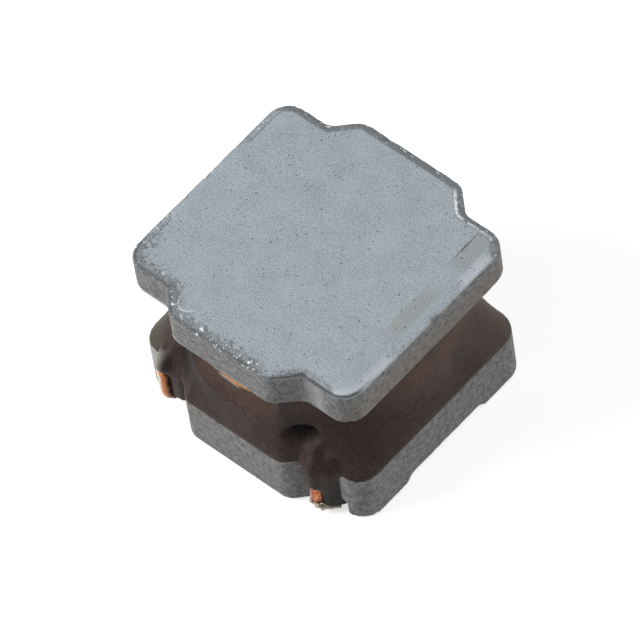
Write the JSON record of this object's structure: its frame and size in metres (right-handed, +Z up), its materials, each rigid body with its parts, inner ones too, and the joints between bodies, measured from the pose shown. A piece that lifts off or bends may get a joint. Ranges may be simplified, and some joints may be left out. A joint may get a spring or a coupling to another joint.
{
  "type": "shielded smd inductor",
  "caption": "Square surface-mount power inductor: ferrite drum core, wire winding filled round with magnetic resin, and plated terminals with soldered wire ends underneath.",
  "frame": {"origin": "middle of the underside, on the board's surface", "axes": "+Z up through the post, +X across the two terminals, -Y towards the side over which both wire ends come down"},
  "size_m": [0.006, 0.006, 0.0043],
  "materials": {
    "ferrite": "ground and matte, with a fine dark speckle",
    "copper_wire": "copper under clear enamel",
    "magnetic_resin": "matte, slightly grainy",
    "plating": "satin tin plating",
    "solder": "satin solder"
  },
  "bodies": {
    "root": {"drum_core": "ferrite", "winding": "copper_wire", "resin_fill": "magnetic_resin", "terminal_left": "plating", "terminal_right": "plating", "solder_left": "solder", "solder_right": "solder"}
  },
  "joints": []
}
